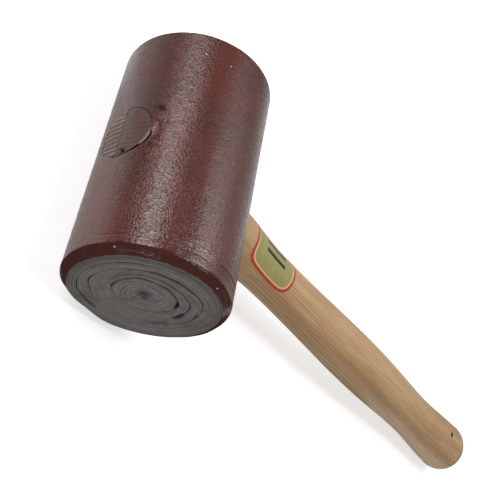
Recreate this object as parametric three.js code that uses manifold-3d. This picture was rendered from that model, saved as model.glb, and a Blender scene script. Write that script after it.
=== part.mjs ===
import * as THREE from 'three';
import { mergeVertices } from 'three/addons/utils/BufferGeometryUtils.js';
import Module from 'manifold-3d';

// A rawhide mallet: a head rolled from hide strips and turned round, on a wedged ash handle.
// Millimetres. In the mallet's own frame the head's axis is Z, from the back face at z = 0 to the
// front face at z = headLength, and the handle runs along X through the middle of the head.

// Head, as turned
const headLength = 120;
const headRadius = 35;
const chamferWidth = 3.8;
const chamferLength = 4;
const headSides = 64;

// Hide strips, rolled one after another round a small void beside the head's axis. Two strips
// meet in a long skived scarf, whose middle lies at a joint radius.
const hideThickness = 3.74;
const turnGap = 0.6;
const rollVoidRadius = 1.6;
const rollCentreX = -3.5;
const rollCentreY = 2;
const rollStartAngle = -Math.PI / 2;
const rollPressShare = 0.11;
const coreJointRadius = 13;
const hideBesideEye = 2.5;
const thirdJointRadius = 22.1;
const scarfLength = 27;
const scarfTipThickness = 0.5;
const lapThickness = 0.7;
const stepsPerTurn = 44;

// Handle: its radius at named places along it, each measured from the head's axis
const handleEyeEndRadius = 12.8;
const shoulderRadius = 14.6;
const waistDistance = 76;
const waistRadius = 12.8;
const swellDistance = 194;
const swellRadius = 15.5;
const gripDistance = 257;
const gripRadius = 14.4;
const buttDistance = 318;
const buttRadius = 17;
const handleReach = 335;
const buttBluntness = 2.3;
const handleSides = 32;
const stepsPerStretch = 6;
const buttSteps = 7;

// Nail hole that the handle hung from while its varnish dried
const nailHoleDistance = 298;
const nailHoleAngle = 0.08;
const nailHoleRadius = 1.1;
const nailHoleDepth = 5;
const nailHoleSides = 10;

// Wedge, driven into a saw kerf across the end of the handle
const wedgeLength = 32;
const wedgeEndThickness = 2.4;
const wedgeTipThickness = 0.9;

// Clearance of a fit, and how far a cutting shape runs past what it cuts
const fitClearance = 0.3;
const overrun = 5;

const hideSideColour = 0x5d403d;
const hideEndColour = 0x5a5754;
const ashColour = 0xc9a27c;
const wedgeColour = 0x8a7366;

const wasm = await Module();
wasm.setup();

function solidOf(geometry) {
  geometry.deleteAttribute('normal');
  geometry.deleteAttribute('uv');
  const merged = mergeVertices(geometry);
  const corners = merged.index.array;
  const triangles = [];
  for (let i = 0; i < corners.length; i += 3) {
    const [a, b, c] = corners.slice(i, i + 3);
    if (a !== b && b !== c && c !== a) {
      triangles.push(a, b, c);
    }
  }
  const vertProperties = merged.attributes.position.array;
  return new wasm.Manifold(new wasm.Mesh({ numProp: 3, vertProperties, triVerts: new Uint32Array(triangles) }));
}

function geometryOf(solid) {
  const mesh = solid.getMesh();
  const geometry = new THREE.BufferGeometry();
  geometry.setAttribute('position', new THREE.BufferAttribute(mesh.vertProperties, 3));
  geometry.setIndex(new THREE.BufferAttribute(mesh.triVerts, 1));
  geometry.computeVertexNormals();
  return geometry;
}

// A solid of revolution along the X axis, from [distance along X, radius] pairs
function turnedAlongX(stations) {
  const profile = stations.map(([distance, radius]) => new THREE.Vector2(radius, distance));
  return solidOf(new THREE.LatheGeometry(profile, handleSides).rotateZ(-Math.PI / 2));
}

// The turned shape of the head: a cylinder with both rims chamfered
function headEnvelope() {
  const profile = [
    new THREE.Vector2(0, 0),
    new THREE.Vector2(headRadius - chamferWidth, 0),
    new THREE.Vector2(headRadius, chamferLength),
    new THREE.Vector2(headRadius, headLength - chamferLength),
    new THREE.Vector2(headRadius - chamferWidth, headLength),
    new THREE.Vector2(0, headLength),
  ];
  return solidOf(new THREE.LatheGeometry(profile, headSides).rotateX(Math.PI / 2));
}

// Handle and eye share one taper, which is widest where the handle enters the head
function taperRadius(distance) {
  const share = (distance + headRadius) / (2 * headRadius);
  return THREE.MathUtils.lerp(handleEyeEndRadius, shoulderRadius, share);
}

function eyeHole() {
  const reach = headRadius + overrun;
  const stations = [
    [-reach, 0],
    [-reach, taperRadius(-reach) + fitClearance],
    [reach, taperRadius(reach) + fitClearance],
    [reach, 0],
  ];
  return turnedAlongX(stations).translate([0, 0, headLength / 2]);
}

// Hide roll. A turn count says how far along the roll a place is, and a depth how far outwards
// it lies from the inner side of the hide there.
const turnPitch = hideThickness + turnGap;

// Winding presses the inner turns tighter than the outer ones
function pressedRadius(radius) {
  return radius * (1 - rollPressShare * (1 - radius / headRadius));
}

function unpressedRadius(radius) {
  const slack = 1 - rollPressShare;
  const root = Math.sqrt(slack ** 2 + 4 * rollPressShare * radius / headRadius);
  return (root - slack) * headRadius / (2 * rollPressShare);
}

function turnsAt(radius, depth) {
  return (unpressedRadius(radius) - depth - rollVoidRadius) / turnPitch;
}

// The roll starts round its void, and its turns centre on the head's axis as they grow
function rollPoint(turns, depth) {
  const radius = pressedRadius(rollVoidRadius + turnPitch * turns + depth);
  const angle = rollStartAngle + 2 * Math.PI * turns;
  const offCentreShare = 1 - radius / headRadius;
  return new THREE.Vector2(
    rollCentreX * offCentreShare + radius * Math.cos(angle),
    rollCentreY * offCentreShare + radius * Math.sin(angle),
  );
}

function rollFace(startTurns, endTurns, depthAt) {
  const steps = Math.ceil((endTurns - startTurns) * stepsPerTurn);
  return Array.from({ length: steps + 1 }, (_, i) => {
    const turns = THREE.MathUtils.lerp(startTurns, endTurns, i / steps);
    return rollPoint(turns, depthAt(turns));
  });
}

// A scarf between two strips. Along it the lower strip thins out and the upper one grows.
function scarfAt(jointRadius) {
  const middle = turnsAt(jointRadius, hideThickness / 2);
  const width = scarfLength / (2 * Math.PI * jointRadius);
  const lowerDepth = (turns) => hideThickness - turnPitch * ((turns - middle) / width + 1 / 2);
  const turnsWhereLower = (depth) => middle + width * ((hideThickness - depth) / turnPitch - 1 / 2);
  return {
    lowerDepth: (turns) => THREE.MathUtils.clamp(lowerDepth(turns), 0, hideThickness),
    upperDepth: (turns) => THREE.MathUtils.clamp(lowerDepth(turns) + turnGap, 0, hideThickness),
    upperStart: turnsWhereLower(hideThickness - turnGap - scarfTipThickness),
    lowerEnd: turnsWhereLower(scarfTipThickness),
  };
}

const rollStart = { upperStart: 0, upperDepth: () => 0 };
const surfaceLap = { lowerEnd: turnsAt(headRadius - lapThickness, 0), lowerDepth: () => hideThickness };

function stripSolid(startScarf, endScarf) {
  const inner = rollFace(startScarf.upperStart, endScarf.lowerEnd, startScarf.upperDepth);
  const outer = rollFace(startScarf.upperStart, endScarf.lowerEnd, endScarf.lowerDepth);
  const outline = new THREE.Shape([...inner, ...outer.reverse()]);
  const options = { depth: headLength + 2 * overrun, bevelEnabled: false };
  return solidOf(new THREE.ExtrudeGeometry(outline, options).translate(0, 0, -overrun));
}

function distanceToSegment(point, from, to) {
  const along = to.clone().sub(from);
  const share = THREE.MathUtils.clamp(point.clone().sub(from).dot(along) / along.lengthSq(), 0, 1);
  return point.distanceTo(from.clone().addScaledVector(along, share));
}

// The least distance from the outside of any turn to the inside of the turn that lies on it
function leastTurnGap() {
  const outside = rollFace(0, surfaceLap.lowerEnd - 1, () => hideThickness);
  const inside = rollFace(1, surfaceLap.lowerEnd, () => 0);
  const gaps = outside.map((point) => (
    Math.min(...inside.slice(1).map((to, i) => distanceToSegment(point, inside[i], to)))
  ));
  return Math.min(...gaps);
}

// One half of the head's length: side is 1 in front of the eye and -1 behind it
function headHalf(side) {
  const width = 2 * (headRadius + overrun);
  const middle = headLength / 2 + side * (headLength / 2 + fitClearance);
  return solidOf(new THREE.BoxGeometry(width, width, headLength).translate(0, 0, middle));
}

function piece(name, solid, color, roughness) {
  const material = new THREE.MeshStandardMaterial({ color, roughness, metalness: 0 });
  const mesh = new THREE.Mesh(geometryOf(solid), material);
  mesh.name = name;
  return mesh;
}

// The eye is wider than the core roll, so boring it leaves the core strip in two plugs
function hideStrips() {
  const eyeEntryRadius = shoulderRadius + fitClearance;
  const scarfs = [coreJointRadius, eyeEntryRadius + hideBesideEye, thirdJointRadius].map(scarfAt);
  const joints = [rollStart, ...scarfs, surfaceLap];
  const bored = headEnvelope().subtract(eyeHole());
  const strips = joints.slice(1).map((joint, i) => stripSolid(joints[i], joint).intersect(bored));
  const [core, second, third, outer] = strips;
  console.log(`least gap between turns of the roll: ${leastTurnGap().toFixed(3)} mm`);
  return [
    piece('hide_core_front', core.intersect(headHalf(1)), hideEndColour, 0.7),
    piece('hide_core_back', core.intersect(headHalf(-1)), hideEndColour, 0.7),
    piece('hide_second_strip', second, hideEndColour, 0.7),
    piece('hide_third_strip', third, hideEndColour, 0.7),
    piece('hide_outer_strip', outer, hideSideColour, 0.4),
  ];
}

// The handle's places outside the head, as [distance, radius] pairs
const handlePlaces = [
  [headRadius, shoulderRadius],
  [waistDistance, waistRadius],
  [swellDistance, swellRadius],
  [gripDistance, gripRadius],
  [buttDistance, buttRadius],
];

// The radius between two places, which runs level into both of them
function radiusBetween([fromDistance, fromRadius], [toDistance, toRadius], distance) {
  const share = (distance - fromDistance) / (toDistance - fromDistance);
  return THREE.MathUtils.lerp(fromRadius, toRadius, (1 - Math.cos(Math.PI * share)) / 2);
}

function handleRadius(distance) {
  const next = handlePlaces.findIndex(([place]) => place >= distance);
  const to = next < 1 ? handlePlaces.length - 1 : next;
  return radiusBetween(handlePlaces[to - 1], handlePlaces[to], distance);
}

function stretchStations(from, to) {
  return Array.from({ length: stepsPerStretch }, (_, i) => {
    const distance = THREE.MathUtils.lerp(from[0], to[0], i / stepsPerStretch);
    return [distance, radiusBetween(from, to, distance)];
  });
}

// The rounded butt, a superellipse that is a little blunter than an ellipse
function buttStations() {
  const stations = Array.from({ length: buttSteps }, (_, i) => {
    const angle = (Math.PI / 2) * (i / buttSteps);
    const alongShare = Math.sin(angle) ** (2 / buttBluntness);
    const acrossShare = Math.cos(angle) ** (2 / buttBluntness);
    return [THREE.MathUtils.lerp(buttDistance, handleReach, alongShare), buttRadius * acrossShare];
  });
  return [...stations, [handleReach, 0]];
}

// The handle before its kerf is sawn, dressed flush with the round side of the head
function handleBlank() {
  const start = -headRadius - overrun;
  const stretches = handlePlaces.slice(1).flatMap((place, i) => stretchStations(handlePlaces[i], place));
  const turned = turnedAlongX([[start, 0], [start, taperRadius(start)], ...stretches, ...buttStations()]);
  const side = new THREE.CylinderGeometry(headRadius, headRadius, headLength, headSides).rotateX(Math.PI / 2);
  const length = handleReach + overrun;
  const outside = new THREE.BoxGeometry(length, headLength, headLength).translate(length / 2, 0, 0);
  return turned.intersect(solidOf(side).add(solidOf(outside))).translate([0, 0, headLength / 2]);
}

// A slip that tapers into the handle from its end, and lies along the head's axis
function taperedSlip(clearance) {
  const widening = (wedgeEndThickness - wedgeTipThickness) / wedgeLength;
  const end = -headRadius - overrun;
  const tip = -headRadius + wedgeLength + clearance;
  const endHalf = (wedgeEndThickness + widening * overrun) / 2 + clearance;
  const tipHalf = (wedgeTipThickness - widening * clearance) / 2 + clearance;
  const outline = new THREE.Shape([
    new THREE.Vector2(end, -endHalf),
    new THREE.Vector2(tip, -tipHalf),
    new THREE.Vector2(tip, tipHalf),
    new THREE.Vector2(end, endHalf),
  ]);
  return solidOf(new THREE.ExtrudeGeometry(outline, { depth: headLength, bevelEnabled: false }));
}

function nailHole() {
  const length = nailHoleDepth + overrun;
  const middle = handleRadius(nailHoleDistance) - nailHoleDepth + length / 2;
  const hole = new THREE.CylinderGeometry(nailHoleRadius, nailHoleRadius, length, nailHoleSides)
    .translate(nailHoleDistance, middle, 0)
    .rotateX(nailHoleAngle);
  return solidOf(hole).translate([0, 0, headLength / 2]);
}

function handleAndWedge() {
  const blank = handleBlank();
  return [
    piece('handle', blank.subtract(taperedSlip(fitClearance)).subtract(nailHole()), ashColour, 0.5),
    piece('handle_wedge', blank.intersect(taperedSlip(0)), wedgeColour, 0.5),
  ];
}

// At rest the mallet lies on the side of its head and on its butt, which slopes the handle down
function restTilt() {
  const slopeToButt = Math.atan2(buttRadius, buttDistance);
  return Math.asin(headRadius / Math.hypot(buttDistance, buttRadius)) - slopeToButt;
}

// The front face stands upright with its centre at the origin, and looks along -Y
const upright = new THREE.Group();
upright.rotation.x = Math.PI / 2;
upright.position.y = headLength;
upright.add(...hideStrips(), ...handleAndWedge());

const mallet = new THREE.Group();
mallet.rotation.y = restTilt();
mallet.add(upright);

export default mallet;
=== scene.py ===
import math

import bmesh
import bpy
import numpy as np
from mathutils import Matrix, Vector


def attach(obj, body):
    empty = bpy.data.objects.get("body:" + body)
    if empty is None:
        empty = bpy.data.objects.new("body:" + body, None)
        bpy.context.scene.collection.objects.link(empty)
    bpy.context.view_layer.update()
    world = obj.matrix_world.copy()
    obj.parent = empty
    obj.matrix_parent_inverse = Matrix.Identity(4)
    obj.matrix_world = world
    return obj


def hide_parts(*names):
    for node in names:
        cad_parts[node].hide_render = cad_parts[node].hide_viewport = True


# A rawhide mallet: a head rolled from varnished hide strips, on a wedged ash handle.
# Lengths are in millimetres until a mesh is made. In the mallet's own frame X runs along the
# handle, Y along the head from its front face at zero, and Z is up. At rest the whole mallet is
# tilted a little about Y, because it lies on the side of its head and on its butt. Angles round
# the head run from +X towards +Z, and angles round the handle from +Y towards +Z.

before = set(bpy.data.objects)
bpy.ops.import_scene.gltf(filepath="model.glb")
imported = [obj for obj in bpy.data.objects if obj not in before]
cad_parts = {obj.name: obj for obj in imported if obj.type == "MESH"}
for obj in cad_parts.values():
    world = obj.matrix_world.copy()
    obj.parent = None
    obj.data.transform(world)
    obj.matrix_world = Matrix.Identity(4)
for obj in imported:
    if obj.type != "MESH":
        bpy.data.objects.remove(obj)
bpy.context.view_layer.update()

MM = 0.001
TURN = 2 * math.pi

# Head
HEAD_LENGTH = 120
HEAD_RADIUS = 35
HEAD_MIDDLE = HEAD_LENGTH / 2
CHAMFER_WIDTH = 3.8
CHAMFER_LENGTH = 4

# Roll of hide. The squeeze thickens it on each side, so that its turns lie a hairline apart.
HIDE_THICKNESS = 3.74
TURN_GAP = 0.6
TURN_PITCH = HIDE_THICKNESS + TURN_GAP
HAIRLINE = 0.05
SQUEEZE = (TURN_GAP - HAIRLINE) / 2
ROLL_VOID_RADIUS = 1.6
ROLL_CENTRE = (-3.5, 2)
ROLL_START_ANGLE = -math.pi / 2
ROLL_START_DEGREES = math.degrees(ROLL_START_ANGLE)
ROLL_PRESS_SHARE = 0.11
SCARF_LENGTH = 27
SCARF_TIP_THICKNESS = 0.1
LAP_THICKNESS = 0.64

# Handle: its radius at named places along it, each measured from the head's axis
EYE_END_RADIUS = 12.8
SHOULDER_RADIUS = 14.6
BUTT_DISTANCE = 318
BUTT_RADIUS = 17
BUTT_BLUNTNESS = 2.3
HANDLE_REACH = 335
HANDLE_PLACES = [(HEAD_RADIUS, SHOULDER_RADIUS), (76, 12.8), (194, 15.5), (257, 14.4)]
HANDLE_PLACES += [(BUTT_DISTANCE, BUTT_RADIUS)]
NAIL_DISTANCE = 298
NAIL_ANGLE = 0.08
NAIL_DEPTH = 5
WEDGE_LENGTH = 32
WEDGE_END_THICKNESS = 2.4
WEDGE_TIP_THICKNESS = 0.9

# Radii at which one hide strip gives way to the next. The second one clears the eye.
EYE_ENTRY_SLACK = 0.3
HIDE_BESIDE_EYE = 2.5
JOINT_RADII = (13, SHOULDER_RADIUS + EYE_ENTRY_SLACK + HIDE_BESIDE_EYE, 22.1)

BUTT_SLOPE = math.atan2(BUTT_RADIUS, BUTT_DISTANCE)
REST_TILT = math.asin(HEAD_RADIUS / math.hypot(BUTT_DISTANCE, BUTT_RADIUS)) - BUTT_SLOPE


# Shares and noise


def eased(start, end, value):
    """Eased from zero at the start to one at the end."""
    share = np.clip((value - start) / (end - start), 0, 1)
    return share * share * (3 - 2 * share)


def window(start, end, ramp, value):
    """One from the start to the end, with an eased ramp outside each."""
    return eased(start - ramp, start, value) * eased(end + ramp, end, value)


def spot(distance, radius):
    """One in the middle, fading over about a radius."""
    return np.exp(-(distance / radius) ** 2)


def stacked(*parts):
    return np.stack(parts, axis=-1)


LATTICE_SIZE = 512


def noise(u, v, seed, period=LATTICE_SIZE):
    """Smooth seeded noise from -1 to 1, which repeats in u after a period."""
    lattice = np.random.default_rng(seed).uniform(-1, 1, (LATTICE_SIZE, LATTICE_SIZE))
    u, v = np.broadcast_arrays(np.asarray(u, float), np.asarray(v, float))
    column, row = np.floor(u).astype(int), np.floor(v).astype(int)
    across, down = eased(0, 1, u - column), eased(0, 1, v - row)

    def value(i, j):
        return lattice[(column + i) % period, (row + j) % LATTICE_SIZE]

    top = value(0, 0) * (1 - across) + value(1, 0) * across
    bottom = value(0, 1) * (1 - across) + value(1, 1) * across
    return top * (1 - down) + bottom * down


# Roll of hide. A turn count says how far along the roll a place is, and a depth says how far
# outwards it lies from the inner side of the hide there.


def pressed_radius(radius):
    """The roll is pressed, so its turns lie nearer to its middle."""
    return radius * (1 - ROLL_PRESS_SHARE * (1 - radius / HEAD_RADIUS))


def unpressed_radius(radius):
    """The radius that the pressing brings to this one."""
    slack = 1 - ROLL_PRESS_SHARE
    root = math.sqrt(slack ** 2 + 4 * ROLL_PRESS_SHARE * radius / HEAD_RADIUS)
    return (root - slack) * HEAD_RADIUS / (2 * ROLL_PRESS_SHARE)


def turns_at(radius, depth):
    """Turn count at which a depth in the hide comes to a radius."""
    return (unpressed_radius(radius) - depth - ROLL_VOID_RADIUS) / TURN_PITCH


# The real roll swells to one side and sags under. After each number of turns its inner side
# lies this much further out than that of an even roll.
SWELLS = [
    (0, 0), (0.9, 0.5), (1.4, 1.5), (1.9, 0.2), (2.15, 2.2), (2.36, 3.4), (2.47, 2), (2.58, 1.3),
    (2.65, 1.8), (2.73, 0.8), (2.83, 0.5), (2.95, -1.8), (3.1, 0.8), (3.28, 3.4), (3.38, 3.8),
    (3.455, 2), (3.51, 0.8), (3.59, 1), (3.66, 0.6), (3.72, -0.4), (3.81, -0.8), (3.95, -1.4),
    (4.12, 0.6), (4.3, 3.8), (4.41, 4.1), (4.5, 1.7), (4.575, 0.9), (4.67, -0.5), (4.76, 0.3),
    (4.84, 1.4), (4.9, -0.2), (5, -0.6), (5.2, 1.6), (5.4, 2.2), (5.55, 0.6), (5.66, 0.5),
    (5.89, 0.9), (5.95, -0.7), (6, -1.4), (6.2, 0.3), (6.5, 0), (9, 0),
]


def swell(turns):
    starts, values = np.array(SWELLS, float).T
    index = np.clip(np.searchsorted(starts, turns, side="right") - 1, 0, len(starts) - 2)
    share = np.clip((turns - starts[index]) / (starts[index + 1] - starts[index]), 0, 1)
    return values[index] + (values[index + 1] - values[index]) * share * share * (3 - 2 * share)


def roll_point(turns, depth):
    """Place across the head of a turn count and a depth."""
    even = pressed_radius(ROLL_VOID_RADIUS + TURN_PITCH * turns + depth)
    outer_share = depth / TURN_PITCH
    radius = even + swell(turns) * (1 - outer_share) + swell(turns + 1) * outer_share
    angle = ROLL_START_ANGLE + TURN * turns
    off_centre = 1 - radius / HEAD_RADIUS
    x = ROLL_CENTRE[0] * off_centre + radius * np.cos(angle)
    z = ROLL_CENTRE[1] * off_centre + radius * np.sin(angle)
    return x, z


# Cracks that show on the front face: turn, first and last angle in degrees, and width
CRACKS = [
    (2, 34, 48, 0.8), (2, 56, 112, 0.3), (2, 118, 150, 0.35), (2, 158, 218, 0.42),
    (2, 226, 246, 0.3), (3, 8, 20, 1.7), (3, 27, 66, 0.3), (3, 72, 118, 0.4),
    (3, 124, 150, 0.35), (3, 156, 200, 0.25), (4, 62, 74, 0.25), (4, 80, 98, 0.5),
    (4, 102, 134, 0.6), (4, 140, 158, 0.35), (4, 208, 236, 0.2), (5, 130, 162, 0.15),
    (5, 222, 240, 0.28), (5, 246, 266, 0.4), (6, 95, 125, 0.12),
]
CRACK_RAMP = 0.02
CRACK_FADE = 3.5
# The back face has the same cracks, this many turns further along the roll
BACK_CRACK_TURNS = 0.4


def crack_width(turns, y):
    """How far the hide stands open under a place of the roll."""
    total = 0
    for further, from_face in ((0, y), (BACK_CRACK_TURNS, HEAD_LENGTH - y)):
        widest = 0
        for turn, *angles, width in CRACKS:
            first, last = (turn + (a - ROLL_START_DEGREES) / 360 + further for a in angles)
            widest = np.maximum(widest, width * window(first, last, CRACK_RAMP, turns))
        total = total + widest * np.exp(-from_face / CRACK_FADE)
    return total


def scarf_at(joint_radius):
    """A slanting joint, over which the lower strip thins out and the upper one starts."""
    middle = turns_at(joint_radius, HIDE_THICKNESS / 2)
    width = SCARF_LENGTH / (TURN * joint_radius)

    def depth_at(turns, gap):
        depth = HIDE_THICKNESS - TURN_PITCH * ((turns - middle) / width + 1 / 2)
        return np.clip(depth + gap, 0, HIDE_THICKNESS)

    def turns_where(depth):
        return middle + width * ((HIDE_THICKNESS - depth) / TURN_PITCH - 1 / 2)

    return {
        "lower_depth": lambda turns: depth_at(turns, 0),
        "upper_depth": lambda turns: depth_at(turns, TURN_GAP),
        "upper_start": turns_where(HIDE_THICKNESS - TURN_GAP - SCARF_TIP_THICKNESS),
        "lower_end": turns_where(SCARF_TIP_THICKNESS),
    }


ROLL_START = {"upper_start": 0, "upper_depth": lambda turns: 0 * turns}
SURFACE_LAP = {
    "lower_end": turns_at(HEAD_RADIUS - LAP_THICKNESS, 0),
    "lower_depth": lambda turns: HIDE_THICKNESS + 0 * turns,
}


# Faces and side of the head. The faces are a little out of round: an angle in degrees, how far
# round the edge is off, and by how much it lies further out there.
OUT_OF_ROUND = [(14, 30, 1.4), (266, 17, -1.7)]


def chamfer_profile(x, z):
    """How far the end of the head lies behind its face."""
    degrees = np.degrees(np.arctan2(z, x))
    start = HEAD_RADIUS - CHAMFER_WIDTH
    for angle, width, further in OUT_OF_ROUND:
        start = start + further * spot((degrees - angle + 180) % 360 - 180, width)
    return np.maximum(np.hypot(x, z) - start, 0) * CHAMFER_LENGTH / CHAMFER_WIDTH


# Marks beside the eye: angle in degrees, place along the head, half of their size in each, and
# the depth of each pit
TEAR = (154.9, 58.6, 2.2, 4.8)
TEAR_DEPTH = 0.45
PITS = [
    (157, 51, 3.2, 1.3, 0.25),
    (153.6, 54.2, 1.5, 1.6, 0.3),
    (156.8, 70.6, 5.2, 2, 0.3),
    (150, 63.4, 2.6, 0.9, 0.15),
]


def away_from(mark, degrees, y):
    """Distance from the middle of a mark, whose edge is at one."""
    angle, middle, half_angle, half_length = mark
    return np.hypot((degrees - angle) / half_angle, (y - middle) / half_length)


def tear_share(degrees, y):
    ragged = 0.55 * noise(degrees / 1.4, y / 1.7, 15)
    return eased(1.1, 0.8, away_from(TEAR, degrees, y) + ragged)


def pit_depth(degrees, y):
    depth = 0
    for *mark, deepest in PITS:
        away = away_from(mark, degrees, y) + 0.4 * noise(degrees / 1.3, y / 1.2, 16)
        depth = np.maximum(depth, deepest * eased(1.2, 0.2, away))
    return depth


# Crease from the top of the head to beside the eye: first and last angle, place along the head
# at the last one, and slant for each degree
CREASE_START = 112
CREASE_END = 152
CREASE_PLACE = 63
CREASE_SLANT = 0.16
CREASE_WIDTH = 0.6
CREASE_DEPTH = 0.14


def crease_share(degrees, y):
    middle = CREASE_PLACE + (CREASE_END - degrees) * CREASE_SLANT
    middle = middle + 0.5 * noise(degrees / 4, 0 * y, 17)
    return window(CREASE_START, CREASE_END, 5, degrees) * spot(y - middle, CREASE_WIDTH)


# Unevenness of the side: depth, waves round the head, length of a wave along it, and seed
SIDE_WAVES = [(0.05, 9, 22, 11), (0.04, 48, 2.6, 12), (0.03, 130, 1.3, 13)]
# Worn ledge near the front edge, and the grooves along it: first and last angle, distance from
# the ledge, and depth
LEDGE_PLACE = 9.4
LEDGE_DEPTH = 0.42
LEDGE_GROOVES = [(60, 165, -2, 0.2), (95, 165, 1.9, 0.12)]
GROOVE_WIDTH = 0.5
# The lap's edge stands up, and the side is a little hollow beside it
LAP_STEP = 0.25
LAP_HOLLOW = 0.3


def side_relief(angle, y):
    """How far the varnished side lies under the turned cylinder."""
    around = angle / TURN % 1
    degrees = np.degrees(angle) % 360
    relief = 0
    for depth, waves, length, seed in SIDE_WAVES:
        relief = relief + depth * (1 + noise(around * waves, y / length, seed, waves))
    ledge_y = LEDGE_PLACE + 0.5 * noise(around * 24, 0 * y, 14, 24)
    ledge = window(64, 118, 6, degrees) + 0.35 * window(118, 160, 10, degrees)
    relief = relief + LEDGE_DEPTH * ledge * eased(ledge_y + 1.4, ledge_y - 0.2, y)
    for start, end, beyond, depth in LEDGE_GROOVES:
        groove = window(start, end, 12, degrees) * spot(y - ledge_y - beyond, GROOVE_WIDTH)
        relief = relief + depth * groove
    relief = relief + CREASE_DEPTH * crease_share(degrees, y)
    beside_lap = eased(113, 124, degrees) * eased(150, 126, degrees)
    relief = relief + LAP_HOLLOW * beside_lap * window(0, 55, 15, y)
    return relief + pit_depth(degrees, y) + TEAR_DEPTH * tear_share(degrees, y)


# The middle of the roll. The first turn is pressed shut over the void up to this turn count,
# and has points on either side of that.
VOID_PLACE = (-3, 2.6)
VOID_DISH = 0.9
VOID_FILL_END = 0.997
VOID_FILL_SIDES = (0.992, 0.998)
VOID_FILL_SHARE = 0.97


def void_share(x, z):
    """The dark middle of the roll, which trails off to one side. Its dark is painted, as dirt and shade.
    """
    across, up = x - VOID_PLACE[0], z - VOID_PLACE[1]
    ragged = 0.6 * noise(x / 0.8 + 60, z / 0.8 + 60, 24)
    main = spot(np.hypot(across, up * 1.25) + ragged, 2.6)
    tail = spot(np.hypot(across - 2.4, (up + 1.6) * 1.4), 1.5)
    return np.maximum(main, 0.8 * tail)


def face_relief(turns, depth, x, z):
    """How far the cut end of the hide lies under the turned face."""
    uneven = 0.1 * (1 + noise(x / 11 + 40, z / 11 + 40, 21))
    layers = 0.07 * (1 + noise(turns * 4, depth / 0.8 + 7 * np.floor(turns), 22))
    fine = 0.03 * (1 + noise(turns * 30, depth / 0.4, 23))
    return uneven + layers + fine + VOID_DISH * void_share(x, z)


# Dirt and painted shade beside the open cracks on the faces
CRACK_DIRT_AND_SHADE_REACH = 0.16
CRACK_DIRT_AND_SHADE_MOST = 0.6


def dirt_and_shade_share(below, above, across, x, z):
    """Dirt and painted shade along the open cracks below and above a place, and round the void."""
    cracks = np.minimum(below, CRACK_DIRT_AND_SHADE_MOST) * spot(across, CRACK_DIRT_AND_SHADE_REACH)
    cracks = cracks + np.minimum(above, CRACK_DIRT_AND_SHADE_MOST) * spot(1 - across, CRACK_DIRT_AND_SHADE_REACH)
    return np.clip(1.1 * cracks + 0.95 * void_share(x, z) ** 0.6, 0, 1)


# Points of a strip: across its cut end, along a hidden side and along one that shows, and their
# spacing along the roll
ACROSS = np.linspace(0, 1, 15)[None, :]
HIDDEN_SIDE = [0, 0.4, 1, 1.8, 3, 5, 8, 14, 30, 60, 90, 106, 112, 115, 117, 118.2, 119, 119.6, 120]
HIDDEN_SHARES = np.array([HIDDEN_SIDE]) / HEAD_LENGTH
SHOWN_SHARES = np.sort([[*np.linspace(0, 1, 151), *np.linspace(0.024, 0.074, 26)]])
SHOWN_SPACING = 0.9
INNER_SPACING = 1.9
LEAST_STEPS = 120
# Places one turn before the lap's edge, by their length beyond it
BESIDE_LAP = np.array([-1, -0.7, -0.5, -0.3, -0.1, 0.1])
# The outer strip's last turn shows, and a little more of it under the lap's edge
SHOWN_TURNS = 1.01
CLOSE_TURNS = 1.02
JOINT_TIP = 0.4
LIP_WIDTH = 0.5


def evenly(start, end, spacing):
    """Turn counts along the roll, about a spacing apart."""
    length = TURN * (ROLL_VOID_RADIUS + TURN_PITCH * (start + end) / 2) * (end - start)
    return np.linspace(start, end, max(int(length / spacing), LEAST_STEPS) + 1)


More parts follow.
